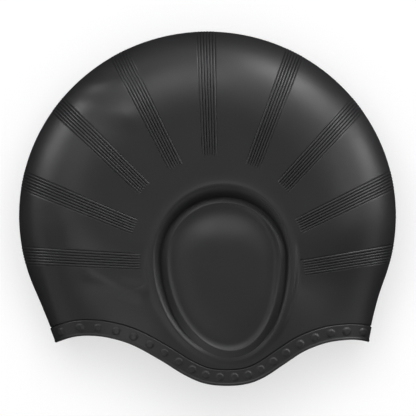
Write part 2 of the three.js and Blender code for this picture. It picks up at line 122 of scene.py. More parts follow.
@dataclass
class Crown:
    """The plain form of the cap: two domed sides that meet in the crest."""

    length: float = 230 * MM
    height: float = 216 * MM
    depth: float = 84 * MM
    crown_rise: float = 112.4 * MM
    rib_rise: float = 0.4 * MM
    crown_roll: float = 50 * MM
    cheek_roll: float = 88 * MM
    mouth_pull: float = 4.5 * MM
    pull_length: float = 58 * MM
    lip_rise: float = 0.8 * MM
    seam: float = 0.05 * MM
    slope_step: float = 0.05 * MM
    no_length: float = 1e-12
    corner_arc: float = 60.0
    front: Cheek = Cheek(23.0, 40.0, 0.056)
    back: Cheek = Cheek(20.0, 38.2, 0.092)
    fold_fade: float = 10 * MM
    folds: tuple[Fold, ...] = (
        Fold((-0.0757, 0.0756), (-0.0536, 0.0756), 6.9 * MM, 1.50 * MM),
        Fold((-0.0782, 0.0659), (-0.0488, 0.0549), 9.7 * MM, 1.30 * MM),
        Fold((-0.0708, -0.0391), (-0.0414, -0.0512), 7.8 * MM, 1.30 * MM),
        Fold((-0.0978, -0.0043), (-0.0920, -0.0205), 6.9 * MM, -0.67 * MM),
        Fold((-0.1080, 0.0110), (-0.1067, -0.0194), 5.1 * MM, 0.50 * MM),
        Fold((-0.1007, -0.0348), (-0.0915, -0.0672), 5.1 * MM, 0.50 * MM),
    )

    @property
    def middle(self) -> float:
        """Height of the middle plane above the floor."""
        return self.depth / 2

    @property
    def centre(self) -> np.ndarray:
        """Centre of the crest's ellipse."""
        return np.array([0.0, self.height / 2 - self.rib_rise - self.crown_rise])

    @property
    def front_corner(self) -> float:
        """Angle on the crest of the mouth's front corner."""
        return 180.0 + self.front.corner

    @property
    def back_corner(self) -> float:
        """Angle on the crest of the mouth's back corner."""
        return -self.back.corner

    def crest_radius(self, degrees: np.ndarray) -> np.ndarray:
        """Distance of the crest from its centre.

        Args:
            degrees: angles round the crest.

        Returns:
            The distance at each angle.
        """
        cos, sin = np.cos(np.radians(degrees)), np.sin(np.radians(degrees))
        ellipse = 1 / np.hypot(cos / (self.length / 2), sin / self.crown_rise)
        below = np.degrees(np.arcsin(np.clip(-sin, 0.0, 1.0)))
        radius = ellipse
        for cheek, here in ((self.front, cos < 0), (self.back, cos >= 0)):
            past = np.maximum(0.0, below - cheek.start) / (cheek.corner - cheek.start)
            radius = np.where(here, ellipse * (1 + cheek.flare * past**2), radius)
        return radius

    def crest_point(self, degrees: np.ndarray) -> np.ndarray:
        """Places on the crest at angles in degrees."""
        turn = np.radians(np.asarray(degrees, float))
        arm = np.stack([np.cos(turn), np.sin(turn)], -1)
        return self.centre + arm * self.crest_radius(degrees)[..., None]

    def crest_angle_from(self, corner: float, turn: float, distance: np.ndarray) -> np.ndarray:
        """Find the angles on the crest that lie at distances from a corner of the mouth.

        Args:
            corner: the corner's angle.
            turn: 1 or -1, the way to go round the crest.
            distance: straight distances from the corner.

        Returns:
            The angles in degrees.
        """
        start = self.crest_point(np.array(corner))
        near, far = np.zeros_like(distance), np.full_like(distance, self.corner_arc)
        for _ in range(SEARCH_STEPS):
            half = (near + far) / 2
            reach = np.linalg.norm(self.crest_point(corner + turn * half) - start, axis=-1)
            near = np.where(reach < distance, half, near)
            far = np.where(reach < distance, far, half)
        return corner + turn * near

    def pull(self, rise: np.ndarray) -> np.ndarray:
        """How far each side draws in at a height above the cap's middle."""
        share = (self.pull_length - self.height / 2 - rise) / self.pull_length
        return self.mouth_pull * smooth(share)

    def squared(self, places: np.ndarray) -> np.ndarray:
        """Square of the plain face's height over the middle plane.

        Args:
            places: places in the middle plane.

        Returns:
            The squares, below zero outside the crest.
        """
        arm = places - self.centre
        degrees = np.degrees(np.arctan2(arm[..., 1], arm[..., 0]))
        inset = self.crest_radius(degrees) - np.linalg.norm(arm, axis=-1)
        below = np.degrees(np.arcsin(np.clip(-np.sin(np.radians(degrees)), 0.0, 1.0)))
        roll = mix(self.crown_roll, self.cheek_roll, smooth(below / self.front.corner))
        share = np.minimum(inset / roll, 1.0)
        face = self.middle - self.lip_rise - self.pull(places[..., 1])
        return face**2 * (1 - (1 - share) ** 2)

    def face(self, places: np.ndarray) -> np.ndarray:
        """Height of the plain face over the middle plane, zero right by the crest."""
        found = np.sqrt(np.maximum(self.squared(places), 0.0))
        return np.where(found < self.seam, 0.0, found)

    def normals(self, places: np.ndarray, heights: np.ndarray) -> np.ndarray:
        """Directions square to the plain face.

        Args:
            places: places in the middle plane.
            heights: the face's height over each.

        Returns:
            One unit vector for each place.
        """
        step = self.slope_step
        east, north = np.array([step, 0.0]), np.array([0.0, step])
        slope_x = (self.squared(places + east) - self.squared(places - east)) / (4 * step)
        slope_y = (self.squared(places + north) - self.squared(places - north)) / (4 * step)
        found = np.stack([-slope_x, -slope_y, heights], -1)
        return found / np.maximum(np.linalg.norm(found, axis=-1, keepdims=True), self.no_length)

    def fold_rise(self, places: np.ndarray, heights: np.ndarray) -> np.ndarray:
        """Find how far the folds lift the upper side.

        Args:
            places: places in the middle plane.
            heights: the side's height over each.

        Returns:
            The rise at each place.
        """
        rise = np.zeros(len(places))
        for fold in self.folds:
            start, run = np.array(fold.start), np.subtract(fold.end, fold.start)
            along = np.clip((places - start) @ run / (run @ run), 0.0, 1.0)
            away = np.linalg.norm(places - start - along[:, None] * run, axis=1)
            rise += fold.rise * smooth(1 - away / fold.width)
        return rise * smooth(heights / self.fold_fade)


@dataclass(frozen=True)
class Quarters:
    """A figure at the top, front, bottom and back of the ear pocket."""

    top: float
    front: float
    bottom: float
    back: float

    def blend(self, degrees: np.ndarray) -> np.ndarray:
        """The figure, blended, at angles round the pocket."""
        cos, sin = np.cos(np.radians(degrees)), np.sin(np.radians(degrees))
        upright = np.where(sin > 0, self.top, self.bottom)
        level = np.where(cos > 0, self.back, self.front)
        return sin * sin * upright + cos * cos * level

    def at(self, degrees: np.ndarray) -> np.ndarray:
        """The size in metres at angles round the pocket, for figures in millimetres."""
        return self.blend(degrees) * MM


@dataclass
class EarPocket:
    """The ear pocket: a smooth panel in an egg-shaped ridge, with a moat and a lip round it."""

    crown: Crown
    width: float = 68.4 * MM
    height: float = 90.0 * MM
    centre: tuple[float, float] = (9.9 * MM, -31.0 * MM)
    lean: float = 3.8 * MM
    tight_bend: float = 15 * MM
    half_step: float = 0.5
    panel_drop: float = 1.5 * MM
    dome_at: float = 0.05
    dome_lean: Quarters = Quarters(1.6, 2.6, 1.5, 2.6)
    ridge_round: float = 1.05
    lip_round: float = 1.3
    groove_round: float = 1.8
    lip_crown: float = 0.5 * MM
    groove_width: Quarters = Quarters(4.0, 3.5, 5.0, 4.5)
    groove_depth: Quarters = Quarters(0.3, 1.0, 2.3, 2.4)
    moat_width: Quarters = Quarters(11.0, 8.8, 6.2, 6.8)
    moat_depth: Quarters = Quarters(8.6, 6.4, 0.4, 3.5)
    moat_floor: Quarters = Quarters(3.4, 4.3, 4.0, 3.6)
    ridge_drop: Quarters = Quarters(6.6, 3.8, -0.4, 1.3)
    lip_width: Quarters = Quarters(2.4, 3.0, 1.7, 2.8)
    shoulder_width: Quarters = Quarters(5.0, 3.6, 2.0, 3.6)

    def ridge(self, degrees: np.ndarray) -> np.ndarray:
        """Find places on the ridge.

        Args:
            degrees: angles round the pocket.

        Returns:
            One place for each angle.
        """
        cos, sin = np.cos(np.radians(degrees)), np.sin(np.radians(degrees))
        down = np.maximum(0.0, -sin)
        reach = np.where(sin > 0, self.width / 2, self.height - self.width / 2)
        across = self.centre[0] + self.width / 2 * cos + self.lean * down * down
        return np.stack([across, self.centre[1] + reach * sin], -1)

    def outside(self, degrees: np.ndarray, distance: np.ndarray) -> np.ndarray:
        """Find places outside the ridge.

        Args:
            degrees: angles round the pocket.
            distance: distances from the ridge, square to it.

        Returns:
            One place for each pair.
        """
        along = self.ridge(degrees + self.half_step) - self.ridge(degrees - self.half_step)
        along /= np.linalg.norm(along, axis=-1, keepdims=True)
        square = np.stack([along[..., 1], -along[..., 0]], -1)
        return self.ridge(degrees) + square * np.asarray(distance)[..., None]

    def lip_reach(self, degrees: np.ndarray) -> np.ndarray:
        """Distance of the lip's outer edge from the ridge."""
        return self.moat_width.at(degrees) + self.lip_width.at(degrees)

    def shoulder_reach(self, degrees: np.ndarray) -> np.ndarray:
        """Distance of the shoulder's foot from the ridge."""
        return self.lip_reach(degrees) + self.shoulder_width.at(degrees)

    def foot(self, degrees: np.ndarray) -> np.ndarray:
        """Places at the shoulder's foot, at angles round the pocket."""
        return self.outside(degrees, self.shoulder_reach(degrees))

    def angle(self, places: np.ndarray) -> np.ndarray:
        """Find the angles round the pocket at which places lie, near or far.

        Args:
            places: places in the middle plane.

        Returns:
            The angles in degrees.
        """
        across = (places[..., 0] - self.centre[0]) / (self.width / 2)
        rise = places[..., 1] - self.centre[1]
        reach = np.where(rise > 0, self.width / 2, self.height - self.width / 2)
        return np.degrees(np.arctan2(rise / reach, across))

    def square_angle(self, places: np.ndarray) -> np.ndarray:
        """Find the angles from which the ridge's square leads to places near it.

        Args:
            places: places outside the ridge.

        Returns:
            Angles for outside() that lead back to each place.
        """
        found = self.angle(places)
        for _ in range(SEARCH_STEPS):
            away = places - self.ridge(found)
            along = self.ridge(found + self.half_step) - self.ridge(found - self.half_step)
            gap = (away * along).sum(-1) / (along * along).sum(-1)
            found = found + gap / (1 + np.linalg.norm(away, axis=-1) / self.tight_bend)
        return found

    def lip(self, places: np.ndarray) -> np.ndarray:
        """Height of the lip over the middle plane."""
        return self.crown.middle - self.crown.pull(places[..., 1])

    def moat_share(self, degrees: np.ndarray, rows: np.ndarray) -> np.ndarray:
        """Find how far over the moat its rows lie, so that the middle one is on its floor.

        Args:
            degrees: angles round the pocket.
            rows: shares of the rows, 0 on the ridge and 1 at the lip.

        Returns:
            Shares of the moat's width.
        """
        floor = self.moat_floor.at(degrees) / self.moat_width.at(degrees)
        return np.where(rows < 0.5, 2 * rows * floor, mix(floor, 1.0, 2 * rows - 1))

    def moat(self, degrees: np.ndarray, share: np.ndarray, lip: np.ndarray) -> np.ndarray:
        """Height in the moat.

        Args:
            degrees: angles round the pocket.
            share: 0 on the ridge and 1 at the lip.
            lip: the lip's height.

        Returns:
            Heights over the middle plane.
        """
        floor, ridge = lip - self.moat_depth.at(degrees), lip - self.ridge_drop.at(degrees)
        at = self.moat_floor.at(degrees) / self.moat_width.at(degrees)
        inner = mix(ridge, floor, np.clip(share / at, 0.0, 1.0) ** self.ridge_round)
        outer = mix(lip, floor, np.clip((1 - share) / (1 - at), 0.0, 1.0) ** self.lip_round)
        return np.where(share < at, inner, outer)

    def panel(self, degrees: np.ndarray, share: np.ndarray, lip: np.ndarray) -> np.ndarray:
        """Height inside the ridge.

        Args:
            degrees: angles round the pocket.
            share: 0 at the middle of the panel and 1 on the ridge.
            lip: the lip's height.

        Returns:
            Heights over the middle plane.
        """
        ridge, at = lip - self.ridge_drop.at(degrees), self.groove_at(degrees)
        groove = ridge - self.groove_depth.at(degrees)
        wall = mix(groove, ridge, np.clip((share - at) / (1 - at), 0.0, 1.0) ** self.groove_round)
        run = np.clip((share - self.dome_at) / (at - self.dome_at), 0.0, 1.0)
        fall = smooth(run ** self.dome_lean.blend(degrees))
        dome = mix(self.crown.middle - self.panel_drop, groove, fall)
        return np.where(share > at, wall, dome)

    def groove_at(self, degrees: np.ndarray) -> np.ndarray:
        """Share of the panel's reach at which the groove inside the ridge lies."""
        reach = np.linalg.norm(self.ridge(degrees) - np.array(self.centre), axis=-1)
        return 1 - self.groove_width.at(degrees) / reach


@dataclass
class RimBand:
    """The thicker band round the mouth, with its step, its studs and the bead at its edge."""

    crown: Crown
    width: float = 9.6 * MM
    step: float = 0.6 * MM
    rise: float = 0.5 * MM
    wall: float = 1.6 * MM
    line_depth: float = 0.5 * MM
    line_stops: tuple[float, ...] = (-0.8, -0.4, 0.0)
    line_row: float = 0.6
    knots_per_point: int = 200
    tangent_reach: float = 0.004
    stud_count: int = 21
    stud_diameter: float = 4.8 * MM
    stud_top: float = 3.8 * MM
    stud_rise: float = 0.7 * MM
    stud_height: float = 5.3 * MM
    stud_shift: float = 0.09
    corner_share: float = 0.02
    bead_width: float = 2.0 * MM
    bead_rise: float = 0.35 * MM
    edge: tuple[tuple[float, float], ...] = (
        (-82.57, -78.84), (-72.91, -77.76), (-60.72, -78.84), (-46.00, -83.16),
        (-28.98, -92.23), (-14.26, -101.30), (-2.07, -106.49), (10.81, -108.00),
        (23.69, -106.92), (34.50, -102.82), (46.69, -94.82), (58.88, -87.05),
        (72.22, -82.08), (84.64, -80.35), (92.46, -80.57),
    )
    knots: np.ndarray = field(init=False)
    run: np.ndarray = field(init=False)

    def __post_init__(self) -> None:
        """Lay the curve of the rim's edge through its points."""
        ends = self.crown.crest_point(np.array([self.crown.front_corner, self.crown.back_corner]))
        points = np.vstack([ends[:1], np.array(self.edge) * MM, ends[1:]])
        laid = []
        for index in range(len(points) - 1):
            before = points[max(index - 1, 0)]
            start, end = points[index], points[index + 1]
            after = points[min(index + 2, len(points) - 1)]
            first, last = (end - before) / 2, (after - start) / 2
            t = np.linspace(0.0, 1.0, self.knots_per_point, endpoint=False)[:, None]
            laid.append((2 * start - 2 * end + first + last) * t**3
                        + (-3 * start + 3 * end - 2 * first - last) * t**2 + first * t + start)
        self.knots = np.vstack([*laid, points[-1:]])
        steps = np.linalg.norm(np.diff(self.knots, axis=0), axis=1)
        self.run = np.concatenate([[0.0], np.cumsum(steps)]) / steps.sum()

    @property
    def top(self) -> float:
        """Distance of the step's foot from the rim's edge."""
        return self.width + self.step

    def share(self, halves: np.ndarray) -> np.ndarray:
        """Share of the rim at counts of half studs from the front corner."""
        even = halves / (2 * self.stud_count)
        return even + self.stud_shift * even * (1 - even)

    def on_edge(self, share: np.ndarray) -> np.ndarray:
        """Places on the rim's edge at shares of its length."""
        return np.stack([np.interp(share, self.run, self.knots[:, k]) for k in (0, 1)], -1)

    def place(self, share: np.ndarray, offset: np.ndarray) -> np.ndarray:
        """Find places on the band.

        Args:
            share: shares of the rim, from the front corner to the back one.
            offset: distances in from the rim's edge.

        Returns:
            One place for each pair.
        """
        after = self.on_edge(np.minimum(share + self.tangent_reach, 1.0))
        along = after - self.on_edge(np.maximum(share - self.tangent_reach, 0.0))
        along /= np.linalg.norm(along, axis=-1, keepdims=True)
        inward = np.stack([-along[..., 1], along[..., 0]], -1)
        found = self.on_edge(share) + inward * offset[..., None]
        for corner, turn, gap in (
            (self.crown.front_corner, -1.0, share),
            (self.crown.back_corner, 1.0, 1 - share),
        ):
            here = gap < self.corner_share
            if here.any():
                angle = self.crown.crest_angle_from(corner, turn, offset[here])
                reach = self.crown.crest_point(angle) - self.crown.crest_point(np.array(corner))
                by_crest = self.on_edge(share[here]) + reach
                free = smooth(gap[here] / self.corner_share)
                found[here] = mix_places(by_crest, found[here], free)
        return found

    def stud_centres(self) -> np.ndarray:
        """Middles of the studs."""
        share = self.share(2.0 * np.arange(self.stud_count) + 1.0)
        return self.place(share, np.full(self.stud_count, self.stud_height))

    def relief(self, places: np.ndarray, offset: np.ndarray) -> np.ndarray:
        """How far the band, its studs and its bead stand off the plain face.

        Args:
            places: places on the band.
            offset: their distances in from the rim's edge.

        Returns:
            The relief at each place.
        """
        line = self.top + np.array(self.line_stops) * 2 * self.step
        relief = np.interp(offset, line, [self.rise, -self.line_depth, 0.0])
        away = np.abs(offset - self.bead_width / 2) / (self.bead_width / 2)
        relief += self.bead_rise * smooth(1 - away)
        nearest = np.full(len(places), np.inf)
        for centre in self.stud_centres():
            nearest = np.minimum(nearest, np.linalg.norm(places - centre, axis=1))
        slope = (self.stud_diameter / 2 - nearest) / ((self.stud_diameter - self.stud_top) / 2)
        return relief + self.stud_rise * smooth(slope)


@dataclass(frozen=True)
class RibGroup:
    """A group of ribs: its angles on the crest and round the ear pocket, and how short of
    the pocket's shoulder it stops."""

    crest: float
    ear: float
    stop: float


@dataclass
class Ribs:
    """The raised ribs, in groups that fan out from the ear pocket over the crest."""

    per_group: int = 6
    rise: float = 0.35 * MM
    sink: float = 0.3 * MM
    margin: float = 0.2
    apron: float = 0.3
    roundness: float = 3.0
    crest_share: float = 0.3
    crest_fade: float = 14 * MM
    pitch_ear: float = 1.53 * MM
    pitch_crest: float = 1.83 * MM
    end: float = 1.0 * MM
    end_rows: float = 1.5
    longest_end: float = 0.3
    groups: tuple[RibGroup, ...] = (
        RibGroup(192.2, 181.4, 0.69 * MM), RibGroup(169.1, 160.0, 6.90 * MM),
        RibGroup(143.4, 138.5, 12.88 * MM), RibGroup(118.7, 117.5, 10.35 * MM),
        RibGroup(90.5, 97.8, 10.12 * MM), RibGroup(61.9, 72.8, 6.44 * MM),
        RibGroup(36.5, 50.8, 5.52 * MM), RibGroup(11.0, 23.9, 0.69 * MM),
        RibGroup(-11.5, -5.0, 0.69 * MM),
    )

    def relief(self, across: np.ndarray) -> np.ndarray:
        """Find how far the ribs stand off the face, or the grooves between them sink.

        Args:
            across: counts of pitches from a group's edge.

        Returns:
            The relief at each place.
        """
        away = np.abs(across - np.floor(across) - 0.5) * 2
        wave = mix(self.rise, -self.sink, away**self.roundness)
        outside = np.maximum(np.maximum(-across, across - self.per_group), 0.0)
        return np.where(outside > 0, -self.sink * np.maximum(1 - outside / self.margin, 0.0), wave)


class Zone(Enum):
    """Zones of a column, in order from the rim's edge to the middle of the ear pocket."""

    CURL = 0
    BEAD = 1
    BAND = 2
    STEP = 3
    FACE = 4
    RIB_END = 5
    PLAIN = 6
    SHOULDER = 7
    LIP = 8
    MOAT = 9
    GROOVE = 10
    PANEL = 11


class Layer(Enum):
    """The cap's two skins."""

    OUTER = "outer"
    LINING = "lining"


@dataclass
class Pattern:
    """The flat pattern of a skin: how many columns and rows it has, and where each lies."""

    crown: Crown
    pocket: EarPocket
    band: RimBand
    ribs: Ribs
    rows: dict[Zone, int]
    per_rib_group: int
    per_gap: int
    per_cheek: int
    per_half_stud: int = 2
    rim_share: float = 0.4
    crowding: float = 2.0
    crest: list[float] = field(init=False, default_factory=list)
    inner: list[np.ndarray] = field(init=False, default_factory=list)
    ear: list[float] = field(init=False, default_factory=list)
    pitches: list[float] = field(init=False, default_factory=list)
    starts: dict[Zone, int] = field(init=False, default_factory=dict)
    crest_columns: int = field(init=False)
    total: int = field(init=False)
    row_count: int = field(init=False)

    def __post_init__(self) -> None:
        """Lay the columns: over the crest from the front corner to the back one, then back
        along the rim."""
        corner = self.corner_column(self.crown.front_corner, -1.0)
        self.add_column(*corner)
        last, stops = corner, self.group_stops()
        for index, group in enumerate(self.ribs.groups):
            lines = self.group_columns(group)
            self.add_between(last, lines[0], self.per_gap if index else self.per_cheek)
            for line, column in enumerate(lines):
                self.add_column(*column, stops[line])
            last = lines[-1]
        corner = self.corner_column(self.crown.back_corner, 1.0)
        self.add_between(last, corner, self.per_cheek)
        self.add_column(*corner)
        self.crest_columns = len(self.crest) - 1
        halves = 2 * self.band.stud_count
        self.total = self.crest_columns + halves * self.per_half_stud
        for step in range(1, halves * self.per_half_stud + 1):
            share = self.band.share(np.array(halves - step / self.per_half_stud))
            outer = self.band.place(share[None], np.array([self.band.top]))[0]
            ear = float(self.pocket.angle(outer))
            ear -= 360.0 if ear > 90 else 0.0
            self.add_column(math.nan, self.rim_inner(outer, ear), ear)
        count = 0
        for zone in Zone:
            self.starts[zone] = count
            count += self.rows[zone]
        self.row_count = count

    def add_column(
        self, crest: float, inner: np.ndarray, ear: float, pitch: float = math.nan
    ) -> None:
        """Add one column.

        Args:
            crest: its angle on the crest.
            inner: its place where the ribs end.
            ear: its angle round the ear pocket.
            pitch: its count of rib pitches from the edge of its rib group, if it is in one.
        """
        self.crest.append(crest)
        self.inner.append(inner)
        self.ear.append(ear)
        self.pitches.append(pitch)

    def rim_inner(self, outer: np.ndarray, ear: float) -> np.ndarray:
        """Find the inner place of a column that starts at the band.

        Args:
            outer: its place at the band's top.
            ear: its angle round the ear pocket.

        Returns:
            The place.
        """
        return mix(self.pocket.foot(np.array(ear)), outer, self.rim_share)

    def corner_column(self, corner: float, turn: float) -> tuple[float, np.ndarray, float]:
        """Find the column that starts where the band's top meets the crest.

        Args:
            corner: angle on the crest of the mouth's corner there.
            turn: 1 or -1, the way round the crest from it.

        Returns:
            Its angle on the crest, inner place and angle round the ear pocket.
        """
        angle = self.crown.crest_angle_from(corner, turn, np.array(self.band.top))
        outer = self.crown.crest_point(angle)
        ear = float(self.pocket.angle(outer))
        ear += 360.0 if ear < -90 else 0.0
        return float(angle), self.rim_inner(outer, ear), ear

    def group_stops(self) -> list[float]:
        """Counts of rib pitches from a group's edge at which its columns lie."""
        whole = np.linspace(0.0, self.ribs.per_group, self.per_rib_group + 1)
        near, far = self.ribs.margin, self.ribs.margin + self.ribs.apron
        end = self.ribs.per_group
        return [-far, -near, *whole.tolist(), end + near, end + far]

    def group_columns(self, group: RibGroup) -> list[tuple[float, np.ndarray, float]]:
        """Find the columns of one rib group.

        Args:
            group: the rib group.

        Returns:
            Angle on the crest, inner place and angle round the ear pocket of each column,
            from the group's front edge to its back one.
        """
        angle = np.array(group.ear)
        inner = self.pocket.outside(angle, self.pocket.shoulder_reach(angle) + group.stop)
        run = self.crown.crest_point(np.array(group.crest)) - inner
        run /= np.linalg.norm(run)
        across = np.array([run[1], -run[0]])
        per_degree = float(self.crown.crest_radius(np.array(group.crest))) * math.pi / 180
        found = []
        for stop in self.group_stops():
            pitches = stop - self.ribs.per_group / 2
            start = inner + across * pitches * self.ribs.pitch_ear
            ear = float(self.pocket.square_angle(start))
            ear += 360.0 if ear < -90 else 0.0
            found.append((group.crest - pitches * self.ribs.pitch_crest / per_degree, start, ear))
        return found

    def stand(self, crest: float, inner: np.ndarray, ear: float) -> float:
        """Find how far a column's inner end stands from the pocket's shoulder.

        Args:
            crest: the column's angle on the crest.
            inner: its inner end.
            ear: its angle round the ear pocket.

        Returns:
            Share of the way from the shoulder to the crest.
        """
        foot = self.pocket.foot(np.array(ear))
        outer = self.crown.crest_point(np.array(crest))
        return float(np.linalg.norm(inner - foot) / np.linalg.norm(outer - foot))

    def add_between(self, before: tuple, after: tuple, count: int) -> None:
        """Add the columns between two others, spread evenly along the crest.

        Args:
            before: angle on the crest, inner place and ear angle of the column before.
            after: the same of the column after.
            count: how many steps there are between the two.
        """
        stands = self.stand(*before), self.stand(*after)
        for step in range(1, count):
            share = step / count
            crest, ear = mix(before[0], after[0], share), mix(before[2], after[2], share)
            foot = self.pocket.foot(np.array(ear))
            outer = self.crown.crest_point(np.array(crest))
            self.add_column(crest, mix(foot, outer, mix(*stands, share)), ear)

    def zone_share(self, zone: Zone, rows: np.ndarray) -> np.ndarray:
        """Share of a zone that rows lie at."""
        return np.clip((rows - self.starts[zone]) / max(self.rows[zone], 1), 0.0, 1.0)

    def halves(self, columns: np.ndarray) -> np.ndarray:
        """Half studs from the front corner at columns of the rim."""
        return 2 * self.band.stud_count - (columns - self.crest_columns) / self.per_half_stud

    def offsets(self, rows: np.ndarray) -> np.ndarray:
        """Find the distances in from the rim's edge at rows of the band.

        Args:
            rows: places along the pattern.

        Returns:
            The distance at each.
        """
        round_end = self.band.wall / 2
        stops = [
            (0, round_end),
            (self.starts[Zone.BEAD], round_end),
            (self.starts[Zone.BAND], self.band.bead_width),
            (self.starts[Zone.STEP], self.band.width - self.band.step),
            (self.starts[Zone.FACE], self.band.top),
        ]
        stops = stops if self.rows[Zone.CURL] else stops[1:]
        return np.interp(rows, [s[0] for s in stops], [s[1] for s in stops])

    def form(
        self, columns: np.ndarray, rows: np.ndarray
    ) -> tuple[np.ndarray, np.ndarray, np.ndarray]:
        """Lay places of the pattern on the cap's plain form.

        Args:
            columns: places across the pattern.
            rows: places along it.

        Returns:
            Places in the middle plane, heights over it, and distances in from the rim.
        """
        on_rim = columns > self.crest_columns - NICK
        at, over_crest = np.arange(self.total + 1), slice(self.crest_columns + 1)
        halves = self.halves(columns)
        share = self.band.share(np.clip(halves, 0.0, 2.0 * self.band.stud_count))
        offset = self.offsets(np.minimum(rows, self.starts[Zone.FACE]))
        crest = np.interp(columns, at[over_crest], self.crest[over_crest])
        outer = self.crown.crest_point(crest)
        outer[on_rim] = self.band.place(share[on_rim], offset[on_rim])
        table = np.array(self.inner)
        inner = np.stack([np.interp(columns, at, table[:, k]) for k in (0, 1)], -1)
        ear = np.interp(columns, at, self.ear)

        from_corner = np.minimum(halves, 2 * self.band.stud_count - halves) / self.band.stud_count
        crowded = mix(self.crowding, 1.0, smooth(2 * from_corner))
        power = np.where(on_rim, crowded, self.crowding)
        length = np.linalg.norm(outer - inner, axis=1)
        end = np.minimum(self.ribs.end_rows * self.ribs.end / length, self.ribs.longest_end)
        along = self.zone_share(Zone.FACE, rows) ** power * (1 - end)
        along += self.zone_share(Zone.RIB_END, rows) * end
        places = mix_places(outer, inner, along)

        foot = self.pocket.foot(ear)
        plain = rows > self.starts[Zone.PLAIN]
        places[plain] = mix_places(inner, foot, self.zone_share(Zone.PLAIN, rows))[plain]
        heights = self.crown.face(places)
        self.press_pocket(rows, ear, places, heights)
        return places, heights, offset

    def press_pocket(
        self, rows: np.ndarray, ear: np.ndarray, places: np.ndarray, heights: np.ndarray
    ) -> None:
        """Press the rows inside the pocket's shoulder on to the pocket, in place.

        Args:
            rows: places along the pattern.
            ear: angles round the ear pocket.
            places: places in the middle plane, which are moved.
            heights: heights over it, which are changed.
        """
        pocket = self.pocket
        lip_reach, moat = pocket.lip_reach(ear), pocket.moat_width.at(ear)
        centre = np.array(pocket.centre)
        for zone in (Zone.SHOULDER, Zone.LIP, Zone.MOAT, Zone.GROOVE, Zone.PANEL):
            here = rows > self.starts[zone]
            share, turn = self.zone_share(zone, rows)[here], ear[here]
            if zone is Zone.SHOULDER:
                reach = mix(pocket.shoulder_reach(turn), lip_reach[here], share)
                places[here] = pocket.outside(turn, reach)
                lip = pocket.lip(places[here]) - pocket.lip_crown
                heights[here] = mix(self.crown.face(places[here]), lip, share**2)
            elif zone is Zone.LIP:
                places[here] = pocket.outside(turn, mix(lip_reach[here], moat[here], share))
                heights[here] = pocket.lip(places[here]) - pocket.lip_crown * (1 - share)
            elif zone is Zone.MOAT:
                across = pocket.moat_share(turn, 1 - share)
                places[here] = pocket.outside(turn, moat[here] * across)
                heights[here] = pocket.moat(turn, across, pocket.lip(places[here]))
            else:
                at = pocket.groove_at(turn)
                reach = mix(1.0, at, share) if zone is Zone.GROOVE else at * (1 - share)
                middles = np.broadcast_to(centre, (here.sum(), 2))
                places[here] = mix_places(middles, pocket.ridge(turn), reach)
                heights[here] = pocket.panel(turn, reach, pocket.lip(places[here]))


